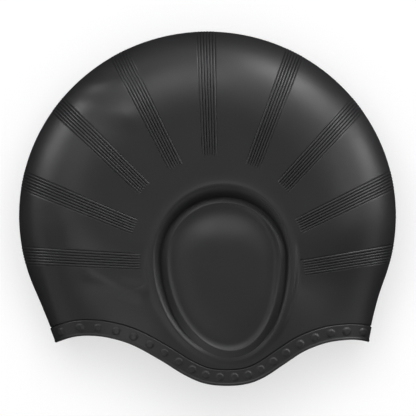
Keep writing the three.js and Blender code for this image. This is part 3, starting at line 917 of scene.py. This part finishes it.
@dataclass
class SwimCap:
    """The cap: its outer skin with ribs, band and studs, and its plain lining."""

    crown: Crown = field(default_factory=Crown)
    ribs: Ribs = field(default_factory=Ribs)
    wall: float = 1.0 * MM
    rib_cuts: int = 7
    flat: float = 1e-9
    seam_height: float = 1e-7
    rim_fade: float = 3 * MM
    rim_hold: float = 1.5
    rim_knots: int = 20
    roll_step: float = 0.5 * MM
    band_cuts: int = 4
    merge_distance: float = 0.01 * MM
    name: str = "cap_skin"
    pocket: EarPocket = field(init=False)
    band: RimBand = field(init=False)
    patterns: dict[Layer, Pattern] = field(init=False)

    def __post_init__(self) -> None:
        """Make the pocket, the band and the two patterns."""
        self.pocket = EarPocket(self.crown)
        self.band = RimBand(self.crown)
        outer_rows = (6, 5, 3, 5, 26, 4, 4, 6, 3, 18, 8, 14)
        lining_rows = (0, 1, 3, 1, 12, 1, 2, 2, 2, 9, 4, 6)
        parts = (self.crown, self.pocket, self.band, self.ribs)
        self.patterns = {
            Layer.OUTER: Pattern(
                *parts, dict(zip(Zone, outer_rows)), per_rib_group=6, per_gap=8, per_cheek=10
            ),
            Layer.LINING: Pattern(
                *parts, dict(zip(Zone, lining_rows)), per_rib_group=2, per_gap=3, per_cheek=4
            ),
        }

    def lay_pattern(self, layer: Layer) -> bpy.types.Object:
        """Lay a skin's pattern out as a flat grid, one column or row to a metre.

        Args:
            layer: the skin to lay out.

        Returns:
            The grid, cut finer where ribs and studs come.
        """
        pattern = self.patterns[layer]
        bpy.ops.mesh.primitive_grid_add(
            x_subdivisions=pattern.total,
            y_subdivisions=pattern.row_count,
            size=1.0,
            location=(0, 0, 0),
        )
        sheet = bpy.context.object
        sheet.name = f"{self.name}_{layer.value}"
        bpy.ops.object.mode_set(mode="EDIT")
        bpy.ops.mesh.select_all(action="SELECT")
        bpy.ops.transform.resize(value=(pattern.total, pattern.row_count, 1.0))
        bpy.ops.transform.translate(value=(pattern.total / 2, pattern.row_count / 2, 0.0))
        bpy.ops.object.mode_set(mode="OBJECT")
        middles = self.face_middles(sheet)
        on_crest = middles[:, 0] < pattern.crest_columns
        self.select(sheet, "FACE", on_crest & (middles[:, 1] < pattern.starts[Zone.FACE]))
        bpy.ops.mesh.delete(type="FACE")
        bpy.ops.object.mode_set(mode="OBJECT")
        if layer is Layer.OUTER:
            self.mark_creases(sheet, pattern)
            self.cut_ribs(sheet, pattern)
            self.cut_band(sheet, pattern)
        return sheet

    @staticmethod
    def face_middles(sheet: bpy.types.Object) -> np.ndarray:
        """Middles of a mesh's faces."""
        found = np.empty(len(sheet.data.polygons) * 3)
        sheet.data.polygons.foreach_get("center", found)
        return found.reshape(-1, 3)

    @staticmethod
    def corners(sheet: bpy.types.Object) -> np.ndarray:
        """Places of a mesh's vertices."""
        found = np.empty(len(sheet.data.vertices) * 3)
        sheet.data.vertices.foreach_get("co", found)
        return found.reshape(-1, 3)

    @staticmethod
    def put_corners(sheet: bpy.types.Object, places: np.ndarray) -> None:
        """Move a mesh's vertices to places, one row each."""
        sheet.data.vertices.foreach_set("co", places.ravel())
        sheet.data.update()

    @staticmethod
    def select(sheet: bpy.types.Object, mode: str, chosen: np.ndarray) -> None:
        """Select some faces or edges of a mesh, and stay in edit mode.

        Args:
            sheet: the mesh.
            mode: FACE or EDGE.
            chosen: which ones, one truth value each.
        """
        bpy.context.view_layer.objects.active = sheet
        bpy.ops.object.mode_set(mode="EDIT")
        bpy.ops.mesh.select_mode(type=mode)
        bpy.ops.mesh.select_all(action="DESELECT")
        bpy.ops.object.mode_set(mode="OBJECT")
        parts = sheet.data.polygons if mode == "FACE" else sheet.data.edges
        parts.foreach_set("select", chosen.astype(bool))
        bpy.ops.object.mode_set(mode="EDIT")

    def edges(self, sheet: bpy.types.Object) -> tuple[np.ndarray, np.ndarray]:
        """Measure a flat grid's edges.

        Args:
            sheet: the grid.

        Returns:
            The edges' middles, and how far each runs each way.
        """
        ends = np.empty(len(sheet.data.edges) * 2, int)
        sheet.data.edges.foreach_get("vertices", ends)
        both = self.corners(sheet)[ends.reshape(-1, 2)]
        return both.mean(1), np.abs(both[:, 1] - both[:, 0])

    def mark_creases(self, sheet: bpy.types.Object, pattern: Pattern) -> None:
        """Mark the bottoms of the sharp grooves: between the ribs, in the moat and in the
        band's line.

        Args:
            sheet: the flat grid.
            pattern: its pattern.
        """
        middle, run = self.edges(sheet)
        row, starts = middle[:, 1], pattern.starts
        column = np.rint(middle[:, 0]).astype(int)
        pitches = np.array(pattern.pitches)[column % len(pattern.pitches)]
        in_ribs = (run[:, 0] < LINE) & (pitches > -LINE) & (pitches < self.ribs.per_group + LINE)
        in_ribs &= (row > starts[Zone.FACE]) & (row < starts[Zone.RIB_END])
        moat = starts[Zone.MOAT] + pattern.rows[Zone.MOAT] / 2
        line = starts[Zone.STEP] + pattern.rows[Zone.STEP] * self.band.line_row
        gap = np.minimum(np.abs(row - moat), np.abs(row - line))
        self.select(sheet, "EDGE", in_ribs | ((run[:, 1] < LINE) & (gap < LINE)))
        bpy.ops.mesh.mark_sharp()
        bpy.ops.object.mode_set(mode="OBJECT")

    def cut_ribs(self, sheet: bpy.types.Object, pattern: Pattern) -> None:
        """Cut the rib groups' columns finer across the ribs.

        Args:
            sheet: the flat grid.
            pattern: its pattern.
        """
        middle, run = self.edges(sheet)
        row, starts, count = middle[:, 1], pattern.starts, self.ribs.per_group
        in_group = np.array([-NICK < pitch < count + NICK for pitch in pattern.pitches])
        left = np.clip(np.floor(middle[:, 0]).astype(int), 0, pattern.total - 1)
        chosen = (run[:, 1] < LINE) & in_group[left] & in_group[left + 1]
        chosen &= (row > starts[Zone.FACE] - LINE) & (row < starts[Zone.PLAIN] + LINE)
        self.select(sheet, "EDGE", chosen)
        bpy.ops.mesh.subdivide(number_cuts=self.rib_cuts, ngon=False)
        bpy.ops.object.mode_set(mode="OBJECT")

    def cut_band(self, sheet: bpy.types.Object, pattern: Pattern) -> None:
        """Cut the studs' stretch of the band finer both ways.

        Args:
            sheet: the flat grid.
            pattern: its pattern.
        """
        rows = self.face_middles(sheet)[:, 1]
        chosen = (rows > pattern.starts[Zone.BAND]) & (rows < pattern.starts[Zone.STEP])
        self.select(sheet, "FACE", chosen)
        bpy.ops.mesh.subdivide(number_cuts=self.band_cuts, ngon=False)
        bpy.ops.object.mode_set(mode="OBJECT")

    def rib_relief(self, pattern: Pattern, columns: np.ndarray, rows: np.ndarray) -> np.ndarray:
        """Find how far the ribs stand off the face, or their grooves sink.

        Args:
            pattern: the skin's pattern.
            columns: places across it.
            rows: places along it.

        Returns:
            The relief at each place, zero outside the rib groups.
        """
        left = np.clip(np.floor(columns).astype(int), 0, pattern.total - 1)
        pitches = np.array(pattern.pitches)
        step = pitches[left + 1] - pitches[left]
        # Outside the groups there is no pitch, and the step isn't above zero
        inside = step > 0
        across = np.where(inside, pitches[left] + (columns - left) * step, 0.0)
        relief = np.where(inside, self.ribs.relief(across), 0.0)
        return relief * smooth(1 - pattern.zone_share(Zone.RIB_END, rows))

    def press_outer(self, sheet: bpy.types.Object) -> None:
        """Press the outer skin's pattern on to the form and raise its ribs, band and studs.

        Args:
            sheet: the flat grid.
        """
        pattern = self.patterns[Layer.OUTER]
        corners = self.corners(sheet)
        columns, rows = corners[:, 0], corners[:, 1]
        places, heights, offset = pattern.form(columns, rows)
        relief = self.rib_relief(pattern, columns, rows)
        relief *= mix(self.ribs.crest_share, 1.0, smooth(heights / self.ribs.crest_fade))
        on_band = columns > pattern.crest_columns - NICK
        on_band &= rows < pattern.starts[Zone.FACE] + NICK
        relief[on_band] = self.band.relief(places[on_band], offset[on_band])
        normals = self.crown.normals(places, heights)
        found = np.column_stack([places, heights])
        pressed = rows <= pattern.starts[Zone.PLAIN] + NICK
        found[pressed] += normals[pressed] * relief[pressed, None]
        curl = on_band & (rows < pattern.starts[Zone.BEAD] - NICK)
        self.roll_edge(pattern, found, curl, columns, rows)
        found[heights < self.flat, 2] = 0.0
        self.put_corners(sheet, found)

    def roll_edge(
        self,
        pattern: Pattern,
        found: np.ndarray,
        curl: np.ndarray,
        columns: np.ndarray,
        rows: np.ndarray,
    ) -> None:
        """Turn the rim's last rows round the edge, in place.

        Args:
            pattern: the outer skin's pattern.
            found: places of the skin's vertices.
            curl: which vertices belong to the edge.
            columns: their places across the pattern.
            rows: their places along it.
        """
        radius = self.band.wall / 2
        halves = np.clip(pattern.halves(columns[curl]), 0.0, 2.0 * self.band.stud_count)
        share = self.band.share(halves)
        near = self.band.place(share, np.full(len(share), radius))
        far = self.band.place(share, np.full(len(share), radius + self.roll_step))
        heights = self.crown.face(near)
        normals = self.crown.normals(near, heights)
        down = np.column_stack([near - far, heights - self.crown.face(far)])
        down -= normals * (down * normals).sum(1, keepdims=True)
        down /= np.linalg.norm(down, axis=1, keepdims=True)
        turn = math.pi * (1 - rows[curl] / pattern.starts[Zone.BEAD])[:, None]
        rise = self.band.relief(near, np.full(len(near), radius))[:, None]
        middle = np.column_stack([near, heights]) + normals * (rise - radius)
        rolled = middle + radius * (np.cos(turn) * normals + np.sin(turn) * down)
        rolled[heights < self.flat, 2] = 0.0
        found[curl] = rolled

    def press_lining(self, sheet: bpy.types.Object) -> None:
        """Press the lining's pattern on to the form, one wall inside the outer skin.

        Args:
            sheet: the flat grid.
        """
        pattern = self.patterns[Layer.LINING]
        corners = self.corners(sheet)
        places, heights, _ = pattern.form(corners[:, 0], corners[:, 1])
        self.put_corners(sheet, np.column_stack([places, heights]))
        self.merge(sheet, inside=False)
        base = self.corners(sheet)
        normals = np.array([n.vector for n in sheet.data.vertex_normals])
        seam = base[:, 2] < self.seam_height
        flat = self.crown.normals(base[:, :2], base[:, 2])
        normals[seam] = flat[seam]
        normals[seam, 2] = 0.0
        normals /= np.linalg.norm(normals, axis=1, keepdims=True)
        by_rim = smooth(self.rim_hold - self.distance_to_rim(base) / self.rim_fade)
        wall = mix(self.wall, self.band.wall - self.band.rise, by_rim)
        found = base - normals * wall[:, None]
        edge = self.rim_row(sheet, seam)
        rise = self.band.relief(base[edge, :2], np.full(edge.sum(), self.band.wall / 2))
        found[edge] = base[edge] + flat[edge] * (rise - self.band.wall)[:, None]
        found[seam, 2] = 0.0
        self.put_corners(sheet, found)

    @staticmethod
    def rim_row(sheet: bpy.types.Object, seam: np.ndarray) -> np.ndarray:
        """Find the vertices of a skin's open edge along the rim.

        Args:
            sheet: one half of the skin.
            seam: which of its vertices lie in the middle plane.

        Returns:
            Which vertices they are.
        """
        mesh = sheet.data
        ends = np.empty(len(mesh.edges) * 2, int)
        mesh.edges.foreach_get("vertices", ends)
        ends = ends.reshape(-1, 2)
        single = faces_per_edge(mesh) == 1
        single &= ~(seam[ends[:, 0]] & seam[ends[:, 1]])
        found = np.zeros(len(mesh.vertices), bool)
        found[ends[single].ravel()] = True
        return found

    def distance_to_rim(self, corners: np.ndarray) -> np.ndarray:
        """Measure how far places lie from the rim's edge, seen from above.

        Args:
            corners: the places.

        Returns:
            The distance of each.
        """
        found = np.full(len(corners), np.inf)
        for knot in self.band.knots[:: self.rim_knots]:
            found = np.minimum(found, np.linalg.norm(corners[:, :2] - knot, axis=1))
        return found

    def merge(self, sheet: bpy.types.Object, inside: bool) -> None:
        """Close the pattern's seam and pole, and turn its faces one way.

        Args:
            sheet: the skin.
            inside: whether its faces look inwards.
        """
        bpy.context.view_layer.objects.active = sheet
        bpy.ops.object.mode_set(mode="EDIT")
        bpy.ops.mesh.select_mode(type="VERT")
        bpy.ops.mesh.select_all(action="SELECT")
        bpy.ops.mesh.remove_doubles(threshold=self.merge_distance)
        bpy.ops.mesh.normals_make_consistent(inside=inside)
        bpy.ops.object.mode_set(mode="OBJECT")

    def mirror(self, sheet: bpy.types.Object, inside: bool) -> None:
        """Add the lower half by a mirror at the middle plane, and merge the crest.

        Args:
            sheet: the skin's upper half.
            inside: whether its faces look inwards.
        """
        mirror = sheet.modifiers.new("lower_half", "MIRROR")
        mirror.use_axis = (False, False, True)
        mirror.merge_threshold = self.merge_distance
        bpy.context.view_layer.objects.active = sheet
        bpy.ops.object.modifier_apply(modifier=mirror.name)
        self.merge(sheet, inside)

    def join(self, outer: bpy.types.Object, lining: bpy.types.Object) -> bpy.types.Object:
        """Join both skins, and merge them where the rim's rolled edge meets the lining.

        Args:
            outer: the outer skin.
            lining: the lining.

        Returns:
            The closed shell, standing at the middle plane's height.
        """
        bpy.ops.object.select_all(action="DESELECT")
        lining.select_set(True)
        outer.select_set(True)
        bpy.context.view_layer.objects.active = outer
        bpy.ops.object.join()
        bpy.ops.object.mode_set(mode="EDIT")
        bpy.ops.mesh.select_mode(type="VERT")
        bpy.ops.mesh.select_all(action="SELECT")
        bpy.ops.mesh.remove_doubles(threshold=self.merge_distance)
        bpy.ops.transform.translate(value=(0.0, 0.0, self.crown.middle))
        bpy.ops.object.mode_set(mode="OBJECT")
        return outer

    def fold(self, shell: bpy.types.Object) -> None:
        """Lay the folds in the upper side, in both skins alike.

        Args:
            shell: the closed shell.
        """
        corners = self.corners(shell)
        corners[:, 2] += self.crown.fold_rise(corners[:, :2], corners[:, 2] - self.crown.middle)
        self.put_corners(shell, corners)

    def build(self) -> bpy.types.Object:
        """Build the whole cap.

        Returns:
            The finished shell.
        """
        bpy.ops.object.select_all(action="DESELECT")
        outer = self.lay_pattern(Layer.OUTER)
        self.press_outer(outer)
        self.merge(outer, inside=False)
        self.mirror(outer, inside=False)
        bpy.ops.object.select_all(action="DESELECT")
        lining = self.lay_pattern(Layer.LINING)
        self.press_lining(lining)
        self.mirror(lining, inside=True)
        shell = self.join(outer, lining)
        self.fold(shell)
        shell.name = shell.data.name = self.name
        bpy.ops.object.select_all(action="DESELECT")
        shell.select_set(True)
        bpy.ops.object.shade_smooth()
        return shell

    def dress(self, shell: bpy.types.Object, rubber: "SatinSilicone") -> None:
        """Give the shell its finish and its place in the frame.

        Args:
            shell: the closed shell.
            rubber: its finish.
        """
        shell.data.materials.clear()
        shell.data.materials.append(rubber.material())
        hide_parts("cap")
        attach(shell, "root")


def faces_per_edge(mesh: bpy.types.Mesh) -> np.ndarray:
    """Count the faces that each edge of a mesh has."""
    used = np.empty(len(mesh.loops), int)
    mesh.loops.foreach_get("edge_index", used)
    return np.bincount(used, minlength=len(mesh.edges))


def add_node(tree: bpy.types.NodeTree, kind: str, settings: dict, links: dict) -> bpy.types.Node:
    """Add a shader node with its settings and its links.

    Args:
        tree: the material's node tree.
        kind: the node's type name.
        settings: values of its properties, or of its input sockets by name or number.
        links: output sockets that feed its input sockets, by the input's name or number.

    Returns:
        The new node.
    """
    node = tree.nodes.new(kind)
    for name, value in settings.items():
        if isinstance(name, str) and hasattr(node, name):
            setattr(node, name, value)
        else:
            node.inputs[name].default_value = value
    for name, output in links.items():
        tree.links.new(output, node.inputs[name])
    return node


@dataclass(frozen=True)
class SatinSilicone:
    """Black silicone rubber from a satin mould: a dark body with a soft, broad sheen."""

    colour: str = "1b1b1c"
    roughness: float = 0.44
    roughness_spread: float = 0.03
    ior: float = 1.41
    grain_size: float = 0.35 * MM
    grain_depth: float = 0.012 * MM
    haze_size: float = 28 * MM
    haze_top: float = 0.7

    def material(self) -> bpy.types.Material:
        """Make the material.

        Returns:
            The black silicone, with an uneven sheen and the mould's grain.
        """
        made = bpy.data.materials.new("moulded_silicone_satin_black")
        made.use_nodes = True
        tree = made.node_tree
        shader = tree.nodes["Principled BSDF"]
        shader.inputs["Base Color"].default_value = linear_colour(self.colour)
        shader.inputs["IOR"].default_value = self.ior
        place = add_node(tree, "ShaderNodeTexCoord", {}, {})
        where = {"Vector": place.outputs["Object"]}
        # Handling leaves the sheen a little uneven over a thumb's width
        haze = add_node(
            tree, "ShaderNodeTexNoise", {"Scale": 1 / self.haze_size, "Detail": 2.0}, where
        )
        low, high = self.roughness - self.roughness_spread, self.roughness + self.roughness_spread
        spread = add_node(
            tree,
            "ShaderNodeMapRange",
            {"From Min": 1 - self.haze_top, "From Max": self.haze_top, "To Min": low, "To Max": high},
            {"Value": haze.outputs["Fac"]},
        )
        tree.links.new(spread.outputs["Result"], shader.inputs["Roughness"])
        # The mould's blasted grain, drawn coarse enough to show at this size
        grain = add_node(
            tree, "ShaderNodeTexNoise", {"Scale": 1 / self.grain_size, "Detail": 1.0}, where
        )
        bump = add_node(
            tree,
            "ShaderNodeBump",
            {"Strength": 1.0, "Distance": self.grain_depth},
            {"Height": grain.outputs["Fac"]},
        )
        tree.links.new(bump.outputs["Normal"], shader.inputs["Normal"])
        return made


class Lit(Enum):
    """What a lamp lights."""

    CAP = "cap"
    FLOOR = "floor"


@dataclass(frozen=True)
class SoftBox:
    """A soft lamp: where it stands, as angles round and from straight up, and its light."""

    name: str
    round_deg: float
    from_top_deg: float
    radiance: float
    distance: float = 1.3
    width: float = 0.55
    height: float = 0.4
    lit: Lit = Lit.CAP
    shadow: bool = True


@dataclass
class Studio:
    """A plain pale floor, soft lamps and the camera straight above."""

    floor_size: float = 9.0
    floor_colour: str = "f4f4f4"
    sky: tuple[tuple[float, float], ...] = (
        (0.0, 0.0), (0.02, 2.4), (0.3, 0.0), (0.6, 0.0), (0.9, 0.45), (1.0, 0.45),
    )
    seen_width: float = 0.2538
    camera_distance: float = 6.0
    sensor_width: float = 36.0
    look_at: tuple[float, float, float] = (0.0003, -0.0001, 0.042)
    boxes: tuple[SoftBox, ...] = (
        SoftBox("back_low", 20.0, 86.0, 9.3),
        SoftBox("back_mid", 20.0, 64.0, 2.0),
        SoftBox("back_high", 12.0, 44.0, 3.0),
        SoftBox("corner_low", 60.0, 76.0, 10.9),
        SoftBox("corner_mid", 60.0, 64.0, 6.8),
        SoftBox("top_mid", 100.0, 50.0, 6.6),
        SoftBox("top_high", 100.0, 35.0, 1.5),
        SoftBox("front_mid", 140.0, 50.0, 2.4),
        SoftBox("front_low", 150.0, 86.0, 8.6),
        SoftBox("front_high", 170.0, 44.0, 1.8),
        SoftBox("mouth_side", 225.0, 40.0, 3.2),
        SoftBox("mouth_high", 270.0, 40.0, 1.3),
        SoftBox("floor_fill", 90.0, 0.0, 3.9, 3.0, 2.4, 2.4, Lit.FLOOR, False),
        SoftBox("floor_lamp", 95.0, 14.0, 2.1, 2.2, 1.6, 1.2, Lit.FLOOR),
    )

    def add_floor(self) -> bpy.types.Object:
        """Lay the floor that the cap lies on.

        Returns:
            The floor.
        """
        bpy.ops.object.select_all(action="DESELECT")
        bpy.ops.mesh.primitive_plane_add(size=self.floor_size, location=(0.0, 0.0, 0.0))
        floor = bpy.context.object
        floor.name = "floor"
        # Pale and without sheen, so that only the cap's soft shadow shows on it
        paper = bpy.data.materials.new("matt_backdrop_paper")
        paper.use_nodes = True
        shader = paper.node_tree.nodes["Principled BSDF"]
        shader.inputs["Base Color"].default_value = linear_colour(self.floor_colour)
        shader.inputs["Roughness"].default_value = 1.0
        shader.inputs["Specular IOR Level"].default_value = 0.0
        floor.data.materials.append(paper)
        # The cap's sides mirror no white paper, as if a dark card stood round them
        floor.visible_glossy = False
        return floor

    def add_box(self, box: SoftBox, lit: bpy.types.Collection) -> bpy.types.Object:
        """Set up one soft lamp that faces the cap.

        Args:
            box: the lamp's place, size and light.
            lit: what the lamp lights.

        Returns:
            The lamp.
        """
        around, away = math.radians(box.round_deg), math.radians(box.from_top_deg)
        level = math.sin(away)
        out = Vector((math.cos(around) * level, math.sin(around) * level, math.cos(away)))
        light = bpy.data.lights.new(box.name, "AREA")
        light.shape = "RECTANGLE"
        light.size, light.size_y = box.width, box.height
        light.energy = box.radiance * math.pi * box.width * box.height
        lamp = bpy.data.objects.new(box.name, light)
        bpy.context.scene.collection.objects.link(lamp)
        lamp.location = Vector(self.look_at) + out * box.distance
        lamp.rotation_euler = out.to_track_quat("Z", "Y").to_euler()
        lamp.visible_camera = False
        lamp.light_linking.receiver_collection = lit
        light.use_shadow = box.shadow
        return lamp

    def add_camera(self) -> bpy.types.Object:
        """Hang the camera straight above the cap, far away, with a long lens.

        Returns:
            The camera.
        """
        data = bpy.data.cameras.new("camera")
        data.sensor_width = self.sensor_width
        data.lens = data.sensor_width * self.camera_distance / self.seen_width
        data.clip_start, data.clip_end = 0.1, 100.0
        camera = bpy.data.objects.new("camera", data)
        bpy.context.scene.collection.objects.link(camera)
        camera.location = Vector(self.look_at) + Vector((0.0, 0.0, self.camera_distance))
        bpy.context.scene.camera = camera
        return camera

    def add_sky(self) -> bpy.types.World:
        """Hang a grey dome: a bright line at the horizon, dark above it, dim straight above.

        Returns:
            The world.
        """
        world = bpy.data.worlds.new("studio")
        world.use_nodes = True
        tree = world.node_tree
        way = add_node(tree, "ShaderNodeTexCoord", {}, {})
        parts = add_node(tree, "ShaderNodeSeparateXYZ", {}, {"Vector": way.outputs["Generated"]})
        ramp = add_node(tree, "ShaderNodeValToRGB", {}, {"Fac": parts.outputs["Z"]})
        stops = ramp.color_ramp.elements
        while len(stops) < len(self.sky):
            stops.new(0.5)
        for stop, (rise, grey) in zip(stops, self.sky):
            stop.position, stop.color = rise, (grey, grey, grey, 1.0)
        tree.links.new(ramp.outputs["Color"], tree.nodes["Background"].inputs["Color"])
        return world

    def build(self, cap: bpy.types.Object) -> None:
        """Set the whole studio up round the cap.

        Args:
            cap: the finished cap.
        """
        shown = {Lit.CAP: cap, Lit.FLOOR: self.add_floor()}
        lit = {what: bpy.data.collections.new(f"lit_{what.value}") for what in Lit}
        for what, piece in shown.items():
            lit[what].objects.link(piece)
        for box in self.boxes:
            self.add_box(box, lit[box.lit])
        self.add_camera()
        scene = bpy.context.scene
        scene.world = self.add_sky()
        scene.view_settings.view_transform = "Standard"


def report(piece: bpy.types.Object) -> None:
    """Log a piece's name, triangles, edges without two faces, and enclosed volume.

    Args:
        piece: the piece.
    """
    mesh = piece.data
    mesh.calc_loop_triangles()
    index = np.empty(len(mesh.loop_triangles) * 3, int)
    mesh.loop_triangles.foreach_get("vertices", index)
    corners = SwimCap.corners(piece)[index].reshape(-1, 3, 3)
    volume = np.einsum("ij,ij->i", corners[:, 0], np.cross(corners[:, 1], corners[:, 2])).sum() / 6
    odd = int((faces_per_edge(mesh) != 2).sum())
    LOG.info("%s: %d triangles, %d odd edges, %.1f cm3", piece.name, len(corners), odd, volume * 1e6)


def main() -> None:
    """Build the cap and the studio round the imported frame."""
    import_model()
    cap = SwimCap()
    shell = cap.build()
    cap.dress(shell, SatinSilicone())
    report(shell)
    Studio().build(shell)


if __name__ == "__main__":
    logging.basicConfig(level=logging.INFO, format="%(message)s")
    main()
